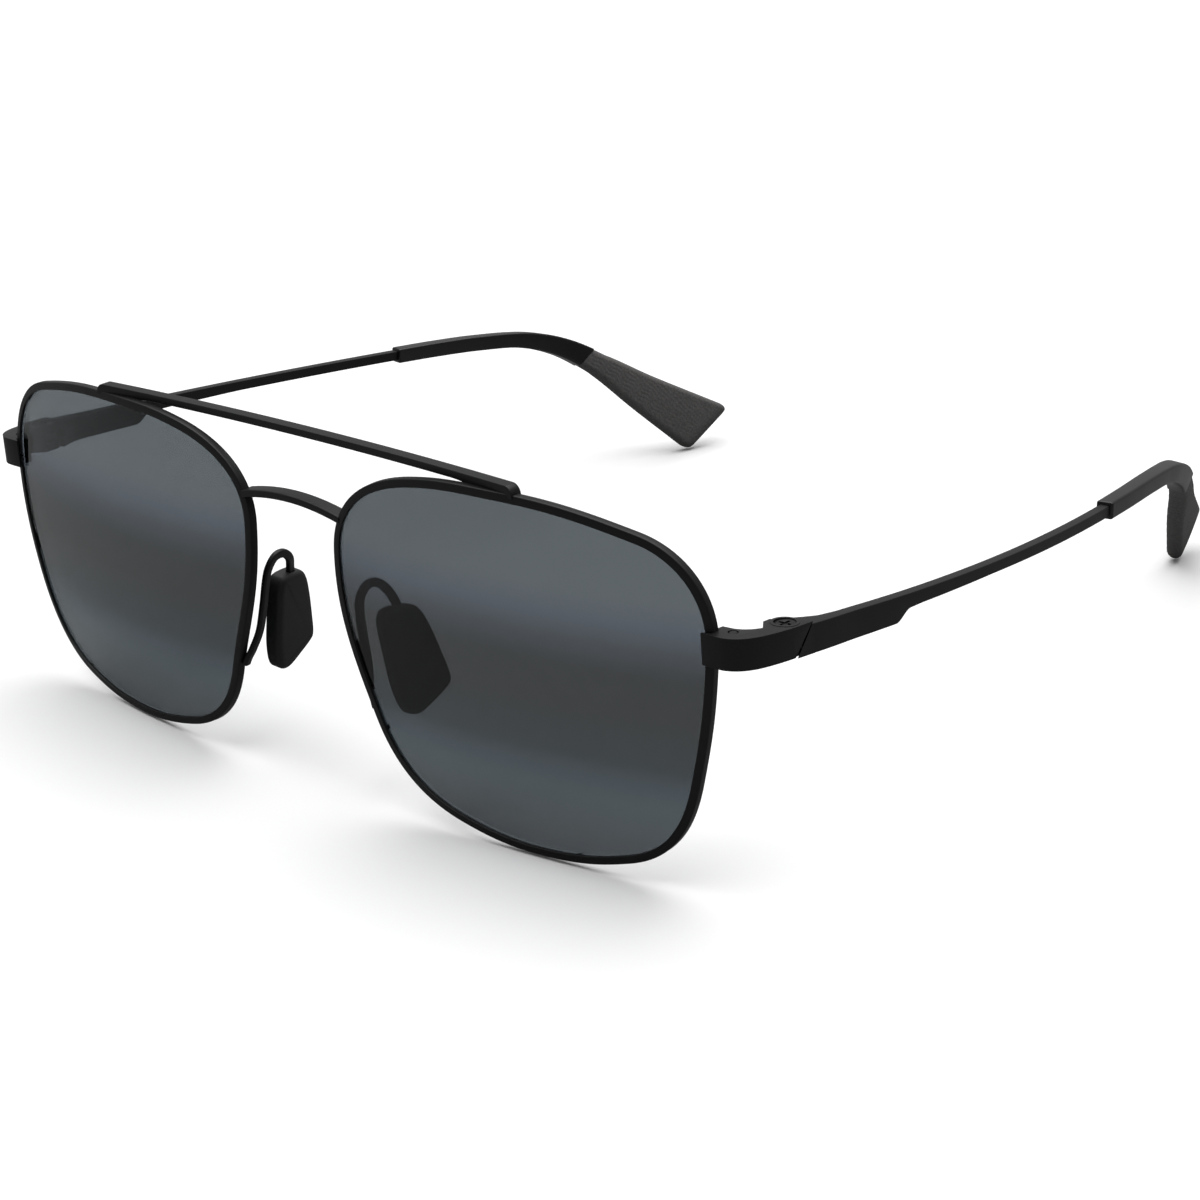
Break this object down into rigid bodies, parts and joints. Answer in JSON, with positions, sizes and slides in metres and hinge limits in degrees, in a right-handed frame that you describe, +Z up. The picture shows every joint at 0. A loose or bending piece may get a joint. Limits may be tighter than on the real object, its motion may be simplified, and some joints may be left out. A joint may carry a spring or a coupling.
{
  "type": "aviator sunglasses",
  "caption": "Metal aviator sunglasses with a brow bar over an arched nose bridge, grey gradient lenses, adjustable nose pads and temples that fold inward on screwed hinges.",
  "frame": {"origin": "on the resting surface under the middle of the whole object's box, temples open", "axes": "+X towards the wearer's left, +Y from the lenses back along the temples, +Z up"},
  "size_m": [0.1404, 0.1366, 0.0474],
  "materials": {
    "matt_black_metal": "matt black plating",
    "dark_screw_steel": "blackened satin",
    "grey_gradient_lens": "polished, double gradient tint",
    "black_tip_plastic": "satin moulded",
    "grey_tip_rubber": "matt, finely ridged",
    "black_pad_rubber": "matt moulded"
  },
  "bodies": {
    "front": {"brow_bar": "matt_black_metal", "nose_bridge": "matt_black_metal", "rim_left": "matt_black_metal", "rim_right": "matt_black_metal", "lens_left": "grey_gradient_lens", "lens_right": "grey_gradient_lens", "endpiece_left": "matt_black_metal", "endpiece_right": "matt_black_metal", "rim_lock_left": "matt_black_metal", "rim_lock_right": "matt_black_metal", "rim_screw_left": "dark_screw_steel", "rim_screw_right": "dark_screw_steel", "hinge_screw_left": "dark_screw_steel", "hinge_screw_right": "dark_screw_steel", "hinge_washer_lower_left": "dark_screw_steel", "hinge_washer_lower_right": "dark_screw_steel", "hinge_washer_upper_left": "dark_screw_steel", "hinge_washer_upper_right": "dark_screw_steel", "pad_arm_left": "matt_black_metal", "pad_arm_right": "matt_black_metal", "nose_pad_left": "black_pad_rubber", "nose_pad_right": "black_pad_rubber"},
    "temple_left": {"temple_left": "matt_black_metal", "tip_sleeve_left": "black_tip_plastic", "tip_grip_left": "grey_tip_rubber"},
    "temple_right": {"temple_right": "matt_black_metal", "tip_sleeve_right": "black_tip_plastic", "tip_grip_right": "grey_tip_rubber"}
  },
  "joints": [
    {"name": "temple_left_fold", "type": "hinge", "parent": "front", "child": "temple_left", "pos_m": [0.0673, -0.05374, 0.03153], "axis": [0, 0, 1], "range_deg": [0, 80]},
    {"name": "temple_right_fold", "type": "hinge", "parent": "front", "child": "temple_right", "pos_m": [-0.0673, -0.05374, 0.03153], "axis": [0, 0, -1], "range_deg": [0, 76]}
  ]
}
